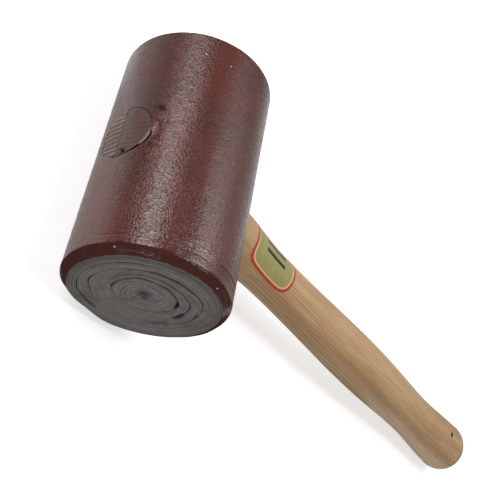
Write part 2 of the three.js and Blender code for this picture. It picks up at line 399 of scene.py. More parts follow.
class Strip:
    """One hide strip of the roll, from the joint below it to the joint above it."""

    def __init__(self, below, above):
        self.end = above["lower_end"]
        self.exposed = above is SURFACE_LAP
        self.turns = self.turn_counts(below["upper_start"])
        self.inner_depth = below["upper_depth"](self.turns)
        self.outer_depth = above["lower_depth"](self.turns)
        self.whole_below = eased(JOINT_TIP, 0, self.inner_depth)
        self.whole_above = eased(HIDE_THICKNESS - JOINT_TIP, HIDE_THICKNESS, self.outer_depth)

    def turn_counts(self, start):
        """Turn counts along the strip, closer together where its outer side shows."""
        turns = evenly(start, self.end, SHOWN_SPACING)
        if self.exposed:
            covered_end = self.end - CLOSE_TURNS
            covered = evenly(start, covered_end, INNER_SPACING)
            turns = np.append(covered, evenly(covered_end, self.end, SHOWN_SPACING)[1:])
            turns = np.append(turns, self.end - 1 + BESIDE_LAP / (TURN * HEAD_RADIUS))
        if start < 1:
            turns = np.append(turns, VOID_FILL_SIDES)
        return np.sort(turns)[:, None]

    def open_below(self, y):
        return crack_width(self.turns, y) * self.whole_below

    def open_above(self, y):
        return crack_width(self.turns + 1, y) * self.whole_above

    def inner_at(self, y):
        """The inner side. The first turn's is pressed shut over the void."""
        depth = self.inner_depth - SQUEEZE + self.open_below(y) / 2
        x, z = roll_point(self.turns, depth)
        filled = VOID_FILL_SHARE * (self.turns < VOID_FILL_END)
        return x + (ROLL_CENTRE[0] - x) * filled, z + (ROLL_CENTRE[1] - z) * filled, depth

    def outer_at(self, y):
        """The outer side, kept within the head's worn side, with a step at the lap."""
        depth = self.outer_depth + SQUEEZE - self.open_above(y) / 2
        x, z = roll_point(self.turns, depth)
        radius, angle = np.hypot(x, z), np.arctan2(z, x)
        limit = HEAD_RADIUS - side_relief(angle, y)
        if self.exposed:
            beyond_lap = (self.turns - (self.end - 1)) * TURN * HEAD_RADIUS
            step = LAP_STEP * (0.1 + 0.9 * window(12, 33, 5, y))
            radius = np.maximum(radius, (limit - step) * eased(-0.9, -0.5, beyond_lap))
        radius = np.minimum(radius, limit)
        return radius * np.cos(angle), radius * np.sin(angle), depth

    def end_face(self, y_face):
        """The cut end on one face. Its edges are rounded off, and more so beside a crack."""
        inner, outer = self.inner_at(y_face), self.outer_at(y_face)
        x, z, depth = (first + (last - first) * ACROSS for first, last in zip(inner, outer))
        thickness = np.hypot(outer[0] - inner[0], outer[1] - inner[1])
        inside = thickness * np.minimum(ACROSS, 1 - ACROSS)
        below, above = self.open_below(y_face), self.open_above(y_face)
        open_here = np.where(ACROSS < 0.5, below, above)
        lip = (0.02 + 0.4 * np.minimum(open_here, 1)) * (1 - np.clip(inside / LIP_WIDTH, 0, 1)) ** 2
        behind = chamfer_profile(x, z) + (face_relief(self.turns, depth, x, z) + lip)
        dirt_and_shade = dirt_and_shade_share(below, above, ACROSS, x, z)
        y = behind if y_face == 0 else HEAD_LENGTH - behind
        return np.stack([x, y, z, depth, dirt_and_shade, 0 * dirt_and_shade])

    def long_side(self, side_at, shares, first, last, shown):
        """The inner or outer side, from face to face. A hidden one is painted dark as shade inside the
        roll.
        """
        y = first + (last - first) * shares
        x, z, depth = side_at(y)
        degrees = np.degrees(np.arctan2(z, x)) % 360
        # A hidden side is painted dark as shade inside the roll, and pits and the crease on a shown side
        # darken with their depth, as dirt and painted shade
        painted_hidden_shade = eased(0, 0.7, np.minimum(y - first, last - y))
        shown_dirt_and_shade = 3.4 * pit_depth(degrees, y) + 0.25 * crease_share(degrees, y)
        dirt_and_shade = np.clip(np.where(shown, shown_dirt_and_shade, painted_hidden_shade), 0, 1)
        return np.stack([x, y, z, depth, dirt_and_shade, tear_share(degrees, y)])

    def grid(self):
        """Closed loops across the strip, one for each turn count, and their UV maps."""
        front, back = self.end_face(0), self.end_face(HEAD_LENGTH)
        shown = self.exposed & (self.turns > self.end - SHOWN_TURNS)
        shares = SHOWN_SHARES if self.exposed else HIDDEN_SHARES
        outer = self.long_side(self.outer_at, shares, front[1, :, -1:], back[1, :, -1:], shown)
        inner = self.long_side(self.inner_at, HIDDEN_SHARES, front[1, :, :1], back[1, :, :1], False)
        # each stretch of a loop stops one point short, where the next one starts
        loop = [front[..., :-1], outer[..., :-1], back[..., :0:-1], inner[..., :0:-1]]
        x, y, z, depth, dirt_and_shade, tear = np.concatenate(loop, axis=-1)
        maps = {"roll": stacked(self.turns + 0 * depth, depth), "marks": stacked(dirt_and_shade, tear)}
        return stacked(x, y, z), maps


# Meshes


def loop_faces(columns, rows):
    """Quads between closed loops, and one face at each end."""
    i, j = np.meshgrid(np.arange(columns - 1), np.arange(rows), indexing="ij")
    k = (j + 1) % rows
    quads = stacked(i * rows + j, i * rows + k, (i + 1) * rows + k, (i + 1) * rows + j)
    ends = [list(range(rows))[::-1], list(range((columns - 1) * rows, columns * rows))]
    return quads.reshape(-1, 4).tolist() + ends


def at_rest(points):
    """From the mallet's own frame in millimetres to the resting mallet in metres."""
    points = np.asarray(points, float).reshape(-1, 3)
    cosine, sine = math.cos(REST_TILT), math.sin(REST_TILT)
    x = points[:, 0] * cosine + points[:, 2] * sine
    z = -points[:, 0] * sine + points[:, 2] * cosine
    return stacked(x, points[:, 1], z) * MM


def linked(name, data):
    obj = bpy.data.objects.new(name, data)
    bpy.context.scene.collection.objects.link(obj)
    return obj


def new_object(name, points, faces, maps=None):
    """A closed mesh in the mallet's own frame. A map gives each point a UV place."""
    mesh = bpy.data.meshes.new(name)
    mesh.from_pydata(at_rest(points).tolist(), [], faces)
    corners = np.zeros(len(mesh.loops), int)
    mesh.loops.foreach_get("vertex_index", corners)
    for key, uv in (maps or {}).items():
        layer = mesh.uv_layers.new(name=key)
        layer.data.foreach_set("uv", np.asarray(uv, float).reshape(-1, 2)[corners].ravel())
    work = bmesh.new()
    work.from_mesh(mesh)
    if work.calc_volume(signed=True) < 0:
        bmesh.ops.reverse_faces(work, faces=work.faces)
    work.to_mesh(mesh)
    work.free()
    mesh.update()
    return linked(name, mesh)


def looped(name, grid, maps=None):
    return new_object(name, grid, loop_faces(*grid.shape[:2]), maps)


def apply_boolean(obj, cutter, operation="DIFFERENCE"):
    modifier = obj.modifiers.new("cut", "BOOLEAN")
    modifier.operation = operation
    modifier.solver = "MANIFOLD"
    modifier.object = cutter
    graph = bpy.context.evaluated_depsgraph_get()
    mesh = bpy.data.meshes.new_from_object(obj.evaluated_get(graph))
    obj.modifiers.clear()
    old = obj.data
    obj.data = mesh
    bpy.data.meshes.remove(old)


def shade(obj, degrees):
    obj.data.polygons.foreach_set("use_smooth", [True] * len(obj.data.polygons))
    obj.data.set_sharp_from_angle(angle=math.radians(degrees))


# Eye

EYE_CLEARANCE = 0.12
EYE_SIDES = 160
EYE_STATIONS = np.array([-42, -36, -34, -32, -30, -28, -26, -24, -20, 0, 20, 30, 36, 42])


def ring(x, radius, angles):
    return stacked(x, HEAD_MIDDLE + radius * np.cos(angles), radius * np.sin(angles))


def taper_radius(x):
    """Radius of the handle inside the eye."""
    share = (x + HEAD_RADIUS) / (2 * HEAD_RADIUS)
    return EYE_END_RADIUS + (SHOULDER_RADIUS - EYE_END_RADIUS) * share


def eye_gap(angle, x):
    """Clearance round the handle. At its end it opens into a crescent on the front side."""
    near_end = eased(-20, -33, x)
    degrees = np.degrees(angle) % 360
    crescent = window(104, 186, 12, degrees) * (1 + 0.75 * eased(134, 120, degrees))
    crescent = crescent * (0.85 + 0.2 * noise(angle / TURN % 1 * 30, 0 * x, 31, 30))
    behind = 0.22 * window(8, 64, 10, degrees)
    return EYE_CLEARANCE * (1 - 0.85 * near_end) + near_end * (0.9 * crescent + behind)


def eye_cutter():
    angles = np.linspace(0, TURN, EYE_SIDES, endpoint=False)
    x = np.repeat(EYE_STATIONS[:, None], EYE_SIDES, axis=1)
    radius = taper_radius(x) + eye_gap(angles[None, :], x)
    return looped("eye_cutter", ring(x, radius, angles))


def keep_half(obj, front):
    work = bmesh.new()
    work.from_mesh(obj.data)
    middle = HEAD_MIDDLE * MM
    drop = [v for v in work.verts if (v.co.y > middle) == front]
    bmesh.ops.delete(work, geom=drop, context="VERTS")
    work.to_mesh(obj.data)
    work.free()


STRIP_NAMES = ["core_front", "core_back", "second", "third", "outer"]


def make_strips():
    """The four strips with the eye bored through them. It cuts the innermost one in two."""
    joints = [ROLL_START, *(scarf_at(radius) for radius in JOINT_RADII), SURFACE_LAP]
    grids = [Strip(below, above).grid() for below, above in zip(joints, joints[1:])]
    cutter = eye_cutter()
    pieces = []
    for name, grid in zip(STRIP_NAMES, [grids[0], *grids]):
        piece = looped("rawhide_" + name, *grid)
        apply_boolean(piece, cutter)
        if name.startswith("core"):
            keep_half(piece, name == "core_front")
        shade(piece, 40)
        pieces.append(piece)
    bpy.data.objects.remove(cutter)
    return pieces


# Handle

HANDLE_SIDES = 160
RING_SPACING = 1.5
END_RINGS = 41
EYE_RINGS = 59
BUTT_RINGS = 29
RING_WIDTH = 1.6
# The grip and the waist are sanded this much thinner than they were turned
SANDED_OFF = 0.3
# Pith of the growth rings from the handle's axis, on its end in the eye and along its grip
END_RING_CENTRE = (85, 6)
GRIP_RING_CENTRE = (62, 58)
END_RIDGE_WIDTH = 2.5
END_CHIP_PLACE = (-10.7, 2.2)
END_CHIP_DEPTH = 2.6
# Towards the butt the handle is thinner on its upper back side and shorter on its upper front
# side: start, end, the side's angle, and an amount all round and one on that side
THINNER = (225, 320, 45, 0.35, 0.35)
SHORTER = (290, 330, 110, 3, 1.8)


def handle_radius(x):
    places, radii = np.array(HANDLE_PLACES, float).T
    index = np.clip(np.searchsorted(places, x), 1, len(places) - 1)
    share = np.clip((x - places[index - 1]) / (places[index] - places[index - 1]), 0, 1)
    rise = (1 - np.cos(math.pi * share)) / 2
    turned = radii[index - 1] + (radii[index] - radii[index - 1]) * rise
    turned = turned - SANDED_OFF * eased(HEAD_RADIUS, 80, x)
    return np.where(x < HEAD_RADIUS, taper_radius(x), turned)


def eye_end_relief(y, z):
    """Ridges along the growth rings of the handle's end, and a chip beside the wedge."""
    across = y - HEAD_MIDDLE
    rings = np.hypot(across - END_RING_CENTRE[0], z - END_RING_CENTRE[1]) / END_RIDGE_WIDTH
    ridge = 0.5 + 0.5 * np.cos(TURN * rings)
    strength = 0.07 + 0.4 * eased(0, -3, z) * eased(70, 64, y)
    from_chip = np.hypot(across - END_CHIP_PLACE[0], (z - END_CHIP_PLACE[1]) / 1.3)
    uneven = 0.08 * (1 + noise(y / 3 + 50, z / 3 + 50, 41))
    share = np.hypot(across, z) / EYE_END_RADIUS
    degrees = np.degrees(np.arctan2(z, across)) % 360
    bevel = 0.4 * window(98, 124, 8, degrees) * eased(0.95, 1, share)
    return strength * ridge + END_CHIP_DEPTH * spot(from_chip, 0.85) + uneven + bevel


def turned_ring(x, radius, angles):
    """A ring that leans towards the butt and is lopsided at it."""
    start, end, side, even, more = THINNER
    thinner = even + more * np.cos(angles - math.radians(side))
    radius = radius - eased(start, end, x) * thinner * radius / BUTT_RADIUS
    start, end, side, even, more = SHORTER
    shorter = even + more * np.cos(angles - math.radians(side)) * radius / BUTT_RADIUS
    return ring(x - eased(start, end, x) * shorter, radius, angles)


def handle_grid():
    """Rings from the middle of the eye end to the middle of the butt."""
    angles = np.linspace(0, TURN, HANDLE_SIDES, endpoint=False)[None, :]
    rings = []
    for share in np.linspace(0, 1, END_RINGS + 1)[1:]:
        radius = share * EYE_END_RADIUS
        y, z = HEAD_MIDDLE + radius * np.cos(angles), radius * np.sin(angles)
        x = -np.sqrt(HEAD_RADIUS ** 2 - z ** 2) + eye_end_relief(y, z)
        rings.append(stacked(x, y, z))
    rim = rings[-1][..., 0]
    for share in np.linspace(0, 1, EYE_RINGS + 1)[1:]:
        x = rim + (HEAD_RADIUS - rim) * share
        rings.append(ring(x, taper_radius(x), angles))
    for x in np.arange(HEAD_RADIUS + RING_SPACING, BUTT_DISTANCE, RING_SPACING):
        rings.append(turned_ring(x, float(handle_radius(np.array(x))), angles))
    for share in np.linspace(0, 1, BUTT_RINGS + 1)[:-1]:
        turn = math.pi / 2 * share
        x = BUTT_DISTANCE + (HANDLE_REACH - BUTT_DISTANCE) * math.sin(turn) ** (2 / BUTT_BLUNTNESS)
        rings.append(turned_ring(x, BUTT_RADIUS * math.cos(turn) ** (2 / BUTT_BLUNTNESS), angles))
    return np.concatenate(rings, axis=0)


SLIP_HALF_WIDTH = 20
SLIP_OVERHANG = 5
KERF_CLEARANCE = 0.06
KERF_EXTRA_LENGTH = 0.3
WEDGE_SETBACK = 0.12


def slip(name, clearance, length):
    """A slip that tapers into the handle from beyond its eye end."""
    widening = (WEDGE_END_THICKNESS - WEDGE_TIP_THICKNESS) / WEDGE_LENGTH
    end, tip = -HEAD_RADIUS - SLIP_OVERHANG, -HEAD_RADIUS + length
    half_end = (WEDGE_END_THICKNESS + widening * SLIP_OVERHANG) / 2 + clearance
    half_tip = WEDGE_TIP_THICKNESS / 2 + clearance
    corners = []
    for y in (HEAD_MIDDLE - SLIP_HALF_WIDTH, HEAD_MIDDLE + SLIP_HALF_WIDTH):
        corners += [(end, y, -half_end), (end, y, half_end), (tip, y, half_tip), (tip, y, -half_tip)]
    faces = [[0, 1, 2, 3], [7, 6, 5, 4], [0, 4, 5, 1], [1, 5, 6, 2], [2, 6, 7, 3], [3, 7, 4, 0]]
    return new_object(name, corners, faces)


NAIL_MIDDLE = (NAIL_DISTANCE, HEAD_MIDDLE - 1, 13.6)
NAIL_SIDES = 24
# Height over the handle's surface and radius
NAIL_RINGS = [(-NAIL_DEPTH, 1.5), (-0.6, 1.7), (-0.1, 2.3), (3, 2.6)]


def nail_hole_cutter():
    angles = np.linspace(0, TURN, NAIL_SIDES, endpoint=False)[None, :]
    above, radius = np.array(NAIL_RINGS).T[..., None]
    heights = float(handle_radius(np.array(NAIL_DISTANCE))) + above
    radius = radius * (1 + 0.12 * noise(angles / TURN * 8, 0.5, 51, 8))
    along, across = radius * np.cos(angles), radius * np.sin(angles)
    cosine, sine = math.cos(NAIL_ANGLE), math.sin(NAIL_ANGLE)
    y = HEAD_MIDDLE + across * cosine - heights * sine
    z = across * sine + heights * cosine
    return looped("nail_cutter", stacked(NAIL_DISTANCE + along, y, z))


def make_handle():
    """The handle with its kerf and nail hole, and the wedge, which ends flush with it."""
    grid = handle_grid()
    handle = looped("ash_handle", grid)
    wedge = looped("wedge", grid + np.array([WEDGE_SETBACK, 0, 0]))
    kerf = slip("kerf_cutter", KERF_CLEARANCE, WEDGE_LENGTH + KERF_EXTRA_LENGTH)
    body = slip("wedge_body", 0, WEDGE_LENGTH)
    nail = nail_hole_cutter()
    apply_boolean(handle, kerf)
    apply_boolean(handle, nail)
    apply_boolean(wedge, body, "INTERSECT")
    for cutter in (kerf, body, nail):
        bpy.data.objects.remove(cutter)
    shade(handle, 50)
    shade(wedge, 30)
    return handle, wedge


# Plain printed panel on the handle

PANEL_MIDDLE = 67
PANEL_ANGLE = -0.28
PANEL_LENGTH = 38
PANEL_WIDTH = 33
PANEL_THICKNESS = 0.06
PANEL_ROOT = 0.3
PANEL_SQUARENESS = 6
PANEL_SIDES = 120
PANEL_SHARES = [0.02, *np.linspace(0.1, 1, 24)]


def make_panel():
    """A thin rounded panel that lies on the handle. Its angle runs from up towards the front."""
    around = np.linspace(0, TURN, PANEL_SIDES, endpoint=False)
    cosine, sine = np.cos(around), np.sin(around)
    reach = np.abs(cosine) ** PANEL_SQUARENESS + np.abs(sine) ** PANEL_SQUARENESS
    reach = reach ** (-1 / PANEL_SQUARENESS)
    shares = np.array([*PANEL_SHARES, *PANEL_SHARES[::-1]])[:, None]
    height = np.repeat([PANEL_THICKNESS, -PANEL_ROOT], len(PANEL_SHARES))[:, None]
    along = shares * reach * cosine * PANEL_LENGTH / 2
    across = shares * reach * sine * PANEL_WIDTH / 2
    x = PANEL_MIDDLE + along
    surface = handle_radius(x)
    angle = PANEL_ANGLE + across / surface
    radius = surface + height
    points = stacked(x, HEAD_MIDDLE - radius * np.sin(angle), radius * np.cos(angle))
    panel = looped("plain_panel", points, {"print": stacked(along, across)})
    shade(panel, 40)
    return panel


# Materials. Two plain numbers after a value say where a share of it starts and where it is whole.


def colour(red, green, blue):
    """Linear colour from the 0 to 255 values of a screen colour."""
    shares = np.array([red, green, blue]) / 255
    linear = np.where(shares <= 0.04045, shares / 12.92, ((shares + 0.055) / 1.055) ** 2.4)
    return (*linear.tolist(), 1)


class Nodes:
    """One material's nodes. A value is a number, a colour or another node's socket."""

    def __init__(self, name):
        self.material = bpy.data.materials.new(name)
        self.material.use_nodes = True
        self.tree = self.material.node_tree
        self.shader = self.tree.nodes["Principled BSDF"]

    def give(self, socket, value):
        if isinstance(value, bpy.types.NodeSocket):
            self.tree.links.new(value, socket)
        else:
            socket.default_value = value

    def add(self, kind, values=None, **settings):
        node = self.tree.nodes.new("ShaderNode" + kind)
        for key, value in settings.items():
            setattr(node, key, value)
        for key, value in (values or {}).items():
            self.give(node.inputs[key], value)
        return node

    def math(self, operation, *values):
        return self.add("Math", dict(enumerate(values)), operation=operation).outputs[0]

    def times(self, first, *others):
        for other in others:
            first = self.math("MULTIPLY", first, other)
        return first

    def total(self, first, *others):
        for other in others:
            first = self.math("ADD", first, other)
        return first

    def less(self, first, second):
        return self.math("SUBTRACT", first, second)

    def length(self, first, second):
        squares = self.times(first, first), self.times(second, second)
        return self.math("SQRT", self.total(*squares))

    def ease(self, value, low, high, to_low=0, to_high=1):
        """Eased from to_low to to_high, as the value goes from low to high."""
        values = {"Value": value, "From Min": low, "From Max": high, "To Min": to_low, "To Max": to_high}
        return self.add("MapRange", values, interpolation_type="SMOOTHSTEP").outputs["Result"]

    def mix(self, share, first, second):
        """From the first colour to the second. A plain one is given as a screen colour."""
        first, second = (colour(*c) if isinstance(c, tuple) else c for c in (first, second))
        return self.add("Mix", {"Factor": share, 6: first, 7: second}, data_type="RGBA").outputs[2]

    def tint(self, base, share, strength, rgb):
        """The base colour, with another over it by a share times a strength."""
        return self.mix(self.times(share, strength), base, rgb)

    def noise(self, vector, scale, detail=3, roughness=0.55):
        values = {"Vector": vector, "Scale": scale, "Detail": detail, "Roughness": roughness}
        return self.add("TexNoise", values).outputs[0]

    def place(self):
        """The mallet's own frame in millimetres, with the rest tilt taken out."""
        coordinates = self.add("TexCoord").outputs["Object"]
        values = {"Vector": self.scaled(coordinates, 1 / MM, 1 / MM, 1 / MM), "Angle": -REST_TILT}
        return self.add("VectorRotate", values, rotation_type="Y_AXIS").outputs[0]

    def uv(self, name):
        return self.parts(self.add("UVMap", uv_map=name).outputs[0])[:2]

    def near(self, vector, point, far, close):
        """One within a close distance of a point, and zero beyond the far one."""
        away = self.add("VectorMath", {0: vector, 1: point}, operation="DISTANCE").outputs["Value"]
        return self.ease(away, far, close)

    def warped(self, vector, scale, reach):
        """The same place, moved about by a smooth noise."""
        drift = self.add("TexNoise", {"Vector": vector, "Scale": scale}).outputs["Color"]
        values = {0: drift, 1: (reach, reach, reach), 2: vector}
        return self.add("VectorMath", values, operation="MULTIPLY_ADD").outputs[0]

    def scaled(self, vector, x, y, z):
        return self.add("Mapping", {"Vector": vector, "Scale": (x, y, z)}).outputs[0]

    def joined(self, x, y, z):
        return self.add("CombineXYZ", {"X": x, "Y": y, "Z": z}).outputs[0]

    def parts(self, vector):
        return self.add("SeparateXYZ", {"Vector": vector}).outputs[:]

    def bump(self, height, distance, strength=1):
        values = {"Height": height, "Distance": distance * MM, "Strength": strength}
        return self.add("Bump", values).outputs[0]

    def finish(self, **values):
        for key, value in values.items():
            self.give(self.shader.inputs[key.replace("_", " ").title().replace("Ior", "IOR")], value)
        return self.material


VARNISH_GLOSS = 0.8
SPECK_RADIUS = 0.4
# White glints painted on tiny specks in the varnish, as painted highlights: angle in degrees, and
# distance from the front face
GLINT_SPECKS = [(115, 103.5), (134.5, 104.5), (161, 2.6), (72.3, 19.4), (82.6, 1.6), (161, 19.5)]
# Smudges on the front face: place, size, strength and colour
FACE_SMUDGES = [
    ((17.9, 2.5, -9), 3.6, 0.55, (58, 54, 52)),
    ((19.8, 2.5, -4.8), 3.6, 0.7, (54, 50, 48)),
    ((21.2, 2.5, -1.4), 3.4, 0.8, (50, 46, 44)),
    ((-6, 2.5, -20.5), 9, 0.4, (88, 58, 54)),
    ((25, 2.5, 8), 8, 0.5, (92, 66, 62)),
]


# Painted highlights: white glints on tiny specks in the varnish
def painted_glint_specks(n, place):
    found = []
    for degrees, y in GLINT_SPECKS:
        angle = math.radians(degrees)
        radius = HEAD_RADIUS - CHAMFER_WIDTH * max(1 - y / CHAMFER_LENGTH, 0)
        glint_speck = (radius * math.cos(angle), y, radius * math.sin(angle))
        found.append(n.near(place, glint_speck, SPECK_RADIUS, SPECK_RADIUS / 2))
    return n.math("MINIMUM", n.total(*found), 1)


def skin_colour(n, skin, y, mottle, from_crease, chamfer):
    """Dark red and mottled. Paler in the grain's creases, partly pigment and partly painted glints, and
    greyer beside the eye as a painted reflection.
    """
    patches = n.noise(n.scaled(skin, 0.05, 0.02, 0.05), 1, 4, 0.6)
    red = n.mix(n.ease(patches, 0.36, 0.64), (80, 29, 21), (60, 27, 22))
    red = n.tint(red, n.ease(mottle, 0.52, 0.74), 0.3, (104, 60, 48))
    red = n.tint(red, n.ease(mottle, 0.46, 0.3), 0.15, (50, 18, 15))
    # Paler in the creases: partly pigment, partly painted glints from the crease walls
    pebbles = n.ease(from_crease, 0, 0.21)
    red = n.tint(red, n.less(1, pebbles), 0.36, (124, 72, 62))
    red = n.tint(red, chamfer, 0.7, (64, 26, 23))
    # Greyer on the side away from the handle, towards the back face: a painted grey reflection
    arc = n.parts(skin)[0]
    painted_grey_reflection = n.times(n.ease(arc, -30, -44), n.ease(arc, -90, -70))
    return n.tint(red, n.times(painted_grey_reflection, n.ease(y, 58, 74)), 0.4, (66, 53, 52))


def torn_colour(n, y, tear):
    """Bare hide where the skin is torn off, with a dark front end."""
    torn = n.mix(n.ease(tear, 0.5, 0.95), (70, 28, 26), (150, 80, 62))
    return n.mix(n.ease(y, 57.2, 55.8), torn, (66, 22, 26))


def face_colour(n, place, x, z, radius, layers):
    """The grey layered edge of the hide, with a smear, warm patches and smudges."""
    warm = n.noise(place, 0.14, 4, 0.65)
    face = n.mix(n.ease(layers, 0.3, 0.7), (73, 68, 64), (137, 132, 126))
    slant = n.less(n.times(x, 0.8), n.times(z, 0.6))
    smeared = n.times(n.ease(slant, -6, 10), n.ease(radius, 30, 24))
    face = n.tint(face, smeared, 0.6, (103, 98, 95))
    face = n.tint(face, n.ease(warm, 0.48, 0.66), 0.55, (92, 64, 60))
    face = n.tint(face, n.ease(warm, 0.46, 0.34), 0.5, (78, 80, 75))
    face = n.tint(face, n.ease(radius, 26, 31), 0.5, (54, 47, 44))
    ragged = n.warped(place, 0.35, 5)
    for point, far, strength, rgb in FACE_SMUDGES:
        face = n.tint(face, n.near(ragged, point, far, far / 4), strength, rgb)
    return face


def hide_normal(n, place, skin, from_crease, layers, chamfer, cut):
    """Pebbles and wrinkles on the side, and layers on the faces."""
    wrinkles = n.noise(n.scaled(skin, 0.44, 1.35, 0.2), 1, 1.5, 0.5)
    fine = n.noise(place, 2.6, 4, 0.65)
    height = n.total(n.ease(from_crease, 0, 0.36), n.times(wrinkles, 1.9), n.times(fine, 0.1))
    side = n.bump(height, 0.075, strength=n.ease(chamfer, 0, 1, 1, 0.4))
    face = n.bump(n.total(layers, n.times(fine, 0.4)), 0.16)
    return n.add("Mix", {"Factor": cut, 4: side, 5: face}, data_type="VECTOR").outputs[1]


def hide_material():
    n = Nodes("varnished_rawhide")
    place = n.place()
    x, y, z = n.parts(place)
    radius = n.length(x, z)
    # length round the head, along it and out from it
    skin = n.joined(n.times(n.math("ARCTAN2", x, z), HEAD_RADIUS), y, radius)
    dirt_and_shade, tear = n.uv("marks")
    turns, depth = n.uv("roll")
    from_end = n.less(HEAD_MIDDLE, n.math("ABSOLUTE", n.less(y, HEAD_MIDDLE)))
    edge = n.total(radius, n.times(n.noise(place, 0.8), 0.7))
    cut = n.ease(edge, 31.95, 31.55)
    chamfer = n.times(n.ease(from_end, 4.6, 4.1), n.ease(edge, 31.5, 31.9))
    mottle = n.noise(place, 0.8, 5, 0.7)
    pebble_place = n.warped(n.scaled(skin, 0.7, 1.3, 0.2), 1.3, 0.9)
    pebbles = {"Vector": pebble_place, "Scale": 1}
    from_crease = n.add("TexVoronoi", pebbles, feature="DISTANCE_TO_EDGE").outputs["Distance"]
    layer_place = n.joined(n.times(turns, 5), n.times(depth, 2.2), n.math("FLOOR", turns))
    layers = n.noise(layer_place, 1, 4, 0.65)

    red = skin_colour(n, skin, y, mottle, from_crease, chamfer)
    # White specks: painted highlights of glints in the varnish
    red = n.mix(painted_glint_specks(n, place), red, (230, 220, 214))
    red = n.mix(n.ease(tear, 0.02, 0.3), red, torn_colour(n, y, tear))
    # The hide's wall of the eye near the side is painted almost black: painted shade in the gap round
    # the handle
    from_eye = n.length(n.less(y, HEAD_MIDDLE), z)
    painted_eye_wall_shade = n.times(n.ease(radius, 34.6, 34.35), n.ease(from_eye, 16.2, 15.6))
    red = n.mix(painted_eye_wall_shade, red, (16, 10, 9))
    tone = n.mix(cut, red, face_colour(n, place, x, z, radius, layers))
    # Dirt and painted shade from the marks map: beside cracks, round the void, in pits and the crease,
    # and on hidden sides
    tone = n.mix(dirt_and_shade, tone, (22, 12, 10))

    normal = hide_normal(n, place, skin, from_crease, layers, chamfer, cut)
    rough = n.ease(mottle, 0.35, 0.7, 0.11, 0.17)
    rough = n.total(rough, n.times(cut, 0.6), n.times(tear, 0.25))
    return n.finish(base_color=tone, roughness=rough, normal=normal, specular_ior_level=VARNISH_GLOSS)


def growth_rings(n, x, y, z, place):
    """Distance from the grip's pith, which wanders slowly along the handle."""
    slow = n.noise(n.scaled(place, 0.012, 0.05, 0.05), 1, 2)
    y = n.total(y, n.times(slow, 3, n.ease(x, -25, 40)))
    return n.length(n.less(y, HEAD_MIDDLE + GRIP_RING_CENTRE[0]), n.less(z, GRIP_RING_CENTRE[1]))


def wood_colour(n, place, from_pith, early, pored):
    """Pale ash with flecks, growth rings and pores, a band of painted shade with painted light beyond
    it, and painted shade in the nail hole.
    """
    fleck = n.noise(n.scaled(place, 0.03, 0.9, 0.9), 1)
    broad = n.noise(n.scaled(place, 0.008, 0.09, 0.09), 1)
    wood = n.mix(n.ease(fleck, 0.35, 0.65), (212, 178, 136), (196, 158, 114))
    wood = n.tint(wood, n.ease(broad, 0.46, 0.62), 0.5, (166, 128, 90))
    # A band of painted shade down the grip's front, and a strip of painted light beyond it along its
    # lower front edge
    painted_shade_band = n.times(n.ease(from_pith, 85.5, 88.5), n.ease(from_pith, 94, 91))
    wood = n.tint(wood, painted_shade_band, 0.38, (160, 120, 84))
    wood = n.tint(wood, n.ease(from_pith, 93, 97), 0.45, (216, 190, 152))
    wood = n.tint(wood, early, 0.4, (154, 114, 76))
    wood = n.tint(wood, pored, 0.4, (126, 90, 60))
    # Painted shade in the nail hole and round its mouth
    return n.mix(n.near(place, NAIL_MIDDLE, 2.7, 2.4), wood, (30, 20, 14))


# Painted shade in the gap round the handle's end
GAP_SHADE_COLOUR = (18, 11, 10)


def end_colour(n, y, z, from_axis, grime):
    """The end in the eye, with ridges low on it and dark above. Painted shade darkens its rim and the
    handle deeper in the eye, and a worn edge is pale, partly as a painted highlight.
    """
    across = n.less(y, HEAD_MIDDLE)
    from_pith = n.length(n.less(across, END_RING_CENTRE[0]), n.less(z, END_RING_CENTRE[1]))
    ridges = n.math("COSINE", n.times(n.math("DIVIDE", from_pith, END_RIDGE_WIDTH), TURN))
    hollow = n.ease(ridges, -1, 1)
    end = n.mix(n.ease(hollow, 0.75, 0.2), (76, 59, 53), (134, 112, 102))
    end = n.mix(n.ease(z, -0.5, 1.5, 0, 0.88), end, (78, 49, 44))
    end = n.tint(end, n.ease(grime, 0.42, 0.6), 0.5, (86, 44, 38))
    from_centre = n.length(across, z)
    # Painted shade at the rim, in the gap
    end = n.mix(n.ease(from_centre, 12.72, 12.79), end, GAP_SHADE_COLOUR)
    # Pale worn edge on part of the rim, partly a painted highlight
    worn_rim_and_highlight = n.times(n.ease(from_centre, 12.5, 12.62), n.ease(from_axis, 34.4, 34.55))
    worn_rim_and_highlight = n.times(worn_rim_and_highlight, n.ease(z, 9, 10), n.ease(across, -1.5, -2.5))
    end = n.mix(worn_rim_and_highlight, end, (158, 138, 128))
    # Painted shade where the handle lies deeper in the eye
    return n.mix(n.ease(from_axis, 34, 33.7), end, GAP_SHADE_COLOUR)


def ash_material():
    """Ash along the handle. Its end in the eye was varnished with the head."""
    n = Nodes("ash")
    place = n.place()
    x, y, z = n.parts(place)
    rings = n.math("DIVIDE", growth_rings(n, x, y, z, place), RING_WIDTH)
    within = n.math("FRACT", rings)
    early = n.times(n.ease(within, 0, 0.2), n.ease(within, 0.7, 0.25))
    pores = n.ease(n.noise(n.scaled(place, 0.12, 4.5, 4.5), 1, 3, 0.7), 0.5, 0.64)
    pored = n.times(pores, n.total(early, 0.2))
    grime = n.noise(place, 0.5, 4, 0.65)
    from_axis = n.length(x, z)
    varnished = n.times(n.ease(from_axis, 30, 31), n.ease(x, 0, -5))
    wood = wood_colour(n, place, n.times(rings, RING_WIDTH), early, pored)
    tone = n.mix(varnished, wood, end_colour(n, y, z, from_axis, grime))
    height = n.total(n.less(1, pored), n.times(grime, varnished, 2))
    rough = n.ease(varnished, 0, 1, 0.4, 0.34)
    return n.finish(base_color=tone, roughness=rough, normal=n.bump(height, 0.035))


